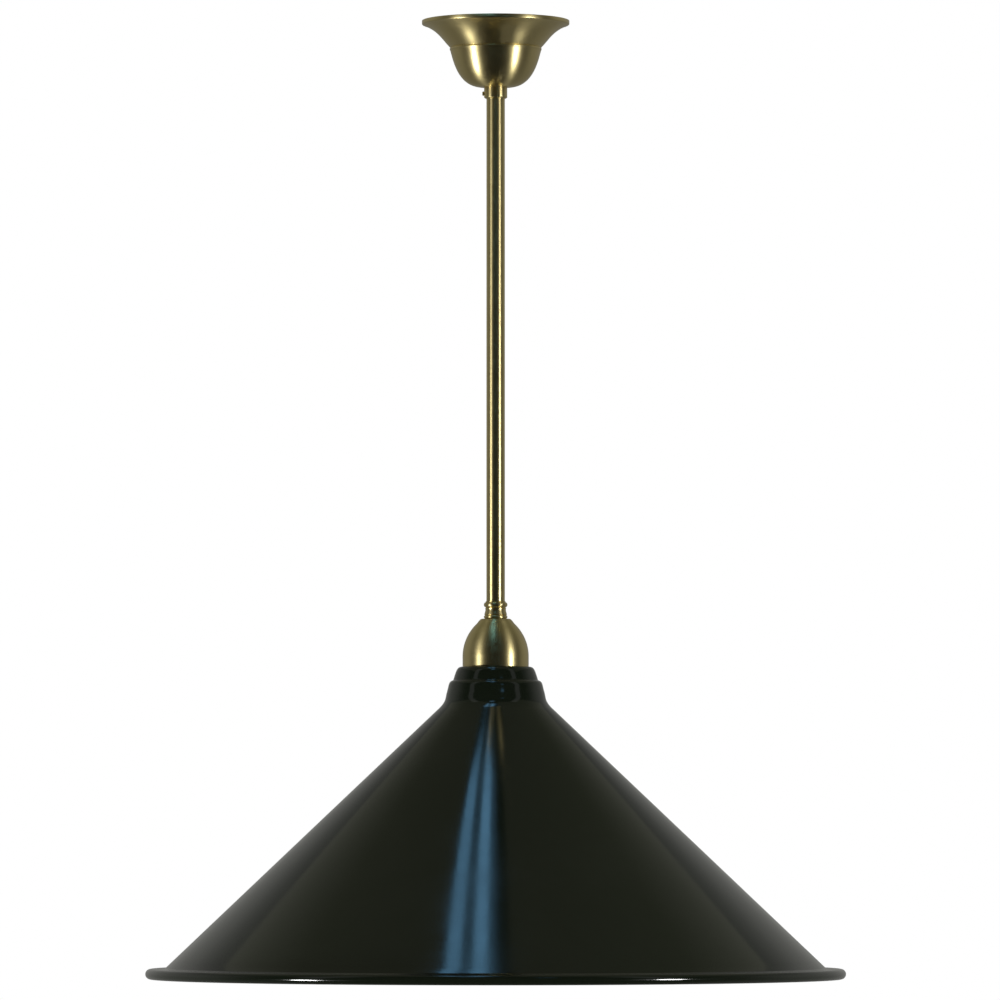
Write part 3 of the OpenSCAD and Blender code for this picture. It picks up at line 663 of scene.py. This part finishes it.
def wires():
    wire("live_wire", "wire_live", rod_route(WAYS[0], -1), WIRE_R)
    wire("neutral_wire", "wire_neutral", rod_route(WAYS[1], 1), WIRE_R)
    wire("earth_wire", "wire_earth", smooth(EARTH_ROUTE), WIRE_R - 0.15)


# ---------------------------------------------------------------- pieces kept from CAD


def dress(node, edge=0.12):
    """A CAD node keeps its mesh, and gets its material and softened edges."""
    obj = frame["nodes"][node]
    obj.data.materials.clear()
    obj.data.materials.append(look_of(node))
    weld = obj.modifiers.new("weld", "WELD")
    weld.merge_threshold = 0.002 * MM
    bevel = obj.modifiers.new("edges", "BEVEL")
    bevel.width = edge * MM
    bevel.segments = 3
    bevel.limit_method = "ANGLE"
    bevel.angle_limit = math.radians(35)
    bevel.harden_normals = True


REBUILT = (ceiling_rose, rose_collar, rod, rod_coupling, holder_cup, shade, holder_skirt, screw_shell,
           bulb_cap, bulb_housing, bulb_globe, wires)
for build in REBUILT:
    build()
for kept in frame["nodes"]:
    if not frame["nodes"][kept].hide_render:
        dress(kept)

# ---------------------------------------------------------------- camera

FRAME_SIDE = 0.690          # height of the view at the lamp, in metres
CAMERA_DISTANCE = 5.6
CAMERA_Z = -0.563
SENSOR = 36

look_at = Vector((0.003, 0, -0.332))
place = Vector((look_at.x, -CAMERA_DISTANCE, CAMERA_Z))
camera = bpy.data.objects.new("camera", bpy.data.cameras.new("camera"))
camera.data.sensor_width = SENSOR
camera.data.lens = SENSOR * (look_at - place).length / FRAME_SIDE
camera.data.clip_end = 100
camera.location = place
camera.rotation_mode = "QUATERNION"
camera.rotation_quaternion = (look_at - place).to_track_quat("-Z", "Y")
bpy.context.scene.collection.objects.link(camera)
bpy.context.scene.camera = camera

# ---------------------------------------------------------------- studio

AIM = Vector((0, 0, -0.35))
WINDOW_BLUE = (0.25, 0.62, 1.0)
CEILING_WARM = (1.0, 1.0, 0.7)


def area_light(name, shape, width, height, radiance, colour):
    """An area light that the camera doesn't see, with the brightness it shows in a mirror."""
    area = width * height * (math.pi / 4 if shape == "ELLIPSE" else 1)
    data = bpy.data.lights.new(name, "AREA")
    data.shape = shape
    data.size, data.size_y = width, height
    data.energy, data.color = radiance * math.pi * area, colour
    light = bpy.data.objects.new(name, data)
    light.visible_camera = False
    bpy.context.scene.collection.objects.link(light)
    return light


def lamp(name, azimuth, distance, z, width, height, radiance, colour=(1, 1, 1), shape="ELLIPSE"):
    """A light that faces the shade. Azimuth 0 is the camera's side, and 90 is to its right."""
    light = area_light(name, shape, width, height, radiance, colour)
    a = math.radians(azimuth)
    light.location = (distance * math.sin(a), -distance * math.cos(a), z)
    aim = AIM - light.location
    light.rotation_mode = "QUATERNION"
    light.rotation_quaternion = aim.to_track_quat("-Z", "Y")


def overhead(name, left, right, near, far, z, radiance, colour):
    """A panel above the lamp that faces down."""
    light = area_light(name, "RECTANGLE", right - left, far - near, radiance, colour)
    light.location = ((left + right) / 2, (near + far) / 2, z)


# name, azimuth in degrees, distance, z, width, height, radiance
lamp("left_key", -64, 2.2, -1.4, 0.38, 0.5, 70)
lamp("right_key", 56, 2.2, -0.8, 0.38, 0.5, 48)
lamp("left_panel", -62, 2.2, 0.9, 0.5, 2.2, 0.25, shape="RECTANGLE")
lamp("right_panel", 56, 2.2, 0.9, 0.5, 2.2, 0.25, shape="RECTANGLE")
lamp("window_high", -11, 0.57, 0.37, 0.12, 0.12, 2, WINDOW_BLUE, "RECTANGLE")
lamp("window_low", 17, 0.87, 0.05, 0.10, 0.06, 1.5, WINDOW_BLUE, "RECTANGLE")

# name, left, right, near, far, z, radiance
overhead("streak_left", -0.20, -0.14, -0.30, 0.017, 0.45, 2.6, WINDOW_BLUE)
overhead("streak_right", -0.090, -0.034, -0.30, 0.0, 0.45, 3.2, WINDOW_BLUE)
overhead("streak_faint", -0.034, 0.004, -0.30, 0.0, 0.45, 0.5, WINDOW_BLUE)
overhead("streak_haze", -0.20, -0.02, -0.30, 0.01, 0.46, 0.45, WINDOW_BLUE)
overhead("ceiling_left", -1.3, -0.22, -0.5, 1.3, 0.5, 0.11, CEILING_WARM)
overhead("ceiling_right", 0.06, 1.3, -0.5, 1.3, 0.5, 0.11, CEILING_WARM)

DARK_FRONT = (0.012, 0.012, 0.012, 1)
EVEN_FILL = (0.55, 0.55, 0.55, 1)
WHITE = (1, 1, 1, 1)


def studio_world():
    """White to the eye, soft and even to matt surfaces, and a dim room to glossy ones."""
    world = bpy.data.worlds.new("studio")
    bpy.context.scene.world = world
    world.use_nodes = True
    world.cycles.sampling_method = "NONE"
    tree = world.node_tree
    tree.nodes.clear()

    def add(kind, inputs=None, **settings):
        node = tree.nodes.new(kind)
        for key, value in settings.items():
            setattr(node, key, value)
        for key, value in (inputs or {}).items():
            if isinstance(value, bpy.types.NodeSocket):
                tree.links.new(value, node.inputs[key])
            else:
                node.inputs[key].default_value = value
        return node

    direction = add("ShaderNodeSeparateXYZ", {0: add("ShaderNodeTexCoord").outputs["Generated"]})
    behind = add("ShaderNodeMapRange", {"Value": direction.outputs[1], "From Min": -0.25, "From Max": 0.45},
                 interpolation_type="SMOOTHSTEP")
    heights = add("ShaderNodeValToRGB", {"Fac": add("ShaderNodeMapRange", {
        "Value": direction.outputs[2], "From Min": -1, "From Max": 1}).outputs[0]})
    ramp = heights.color_ramp
    # The room's brightness by height: 0 is straight down, 0.5 level and 1 straight up
    stops = [(0.0, 0.10), (0.45, 0.22), (0.56, 0.27), (0.69, 0.24), (0.80, 0.11), (0.90, 0.01)]
    while len(ramp.elements) < len(stops):
        ramp.elements.new(0.5)
    for element, (position, level) in zip(ramp.elements, stops):
        element.position = position
        element.color = (level, level, level * 0.94, 1)
    rays = add("ShaderNodeLightPath").outputs

    def blend(factor, a, b):
        return add("ShaderNodeMix", {0: factor, 6: a, 7: b}, data_type="RGBA").outputs[2]

    room = blend(behind.outputs[0], DARK_FRONT, heights.outputs[0])
    soft = blend(rays["Is Diffuse Ray"], room, EVEN_FILL)
    seen = blend(rays["Is Camera Ray"], soft, WHITE)
    shine = add("ShaderNodeBackground", {"Color": seen})
    out = add("ShaderNodeOutputWorld")
    tree.links.new(shine.outputs[0], out.inputs["Surface"])


studio_world()

FLOOR_R = 30
FLOOR_Z = -2.4


def floor():
    """A plain pale floor, seen from above only, that fades into the backdrop."""
    bm = bmesh.new()
    bmesh.ops.create_circle(bm, cap_ends=True, segments=96, radius=FLOOR_R)
    obj = finished("floor", bm)
    obj.location.z = FLOOR_Z
    look = Look("pale_floor", Roughness=0.8)
    look.set("Base Color", look.blend(look.span(look.noise(3, 4), 0.3, 0.7), (0.80, 0.80, 0.79, 1),
                                      (0.84, 0.84, 0.83, 1)))
    away = look.add("ShaderNodeVectorMath", {0: look.place}, operation="LENGTH", output=1)
    glow = look.add("ShaderNodeEmission", {"Color": WHITE})
    fade = look.add("ShaderNodeMixShader", {0: look.span(away, 1.5, 7), 1: look.shader.outputs[0], 2: glow})
    below = look.add("ShaderNodeNewGeometry").node.outputs["Backfacing"]
    clear = look.add("ShaderNodeBsdfTransparent")
    one_way = look.add("ShaderNodeMixShader", {0: below, 1: fade, 2: clear})
    look.tree.links.new(one_way, look.tree.nodes["Material Output"].inputs["Surface"])
    obj.data.materials.append(look.material)
    obj.visible_glossy = False


floor()
bpy.context.scene.view_settings.view_transform = "Standard"
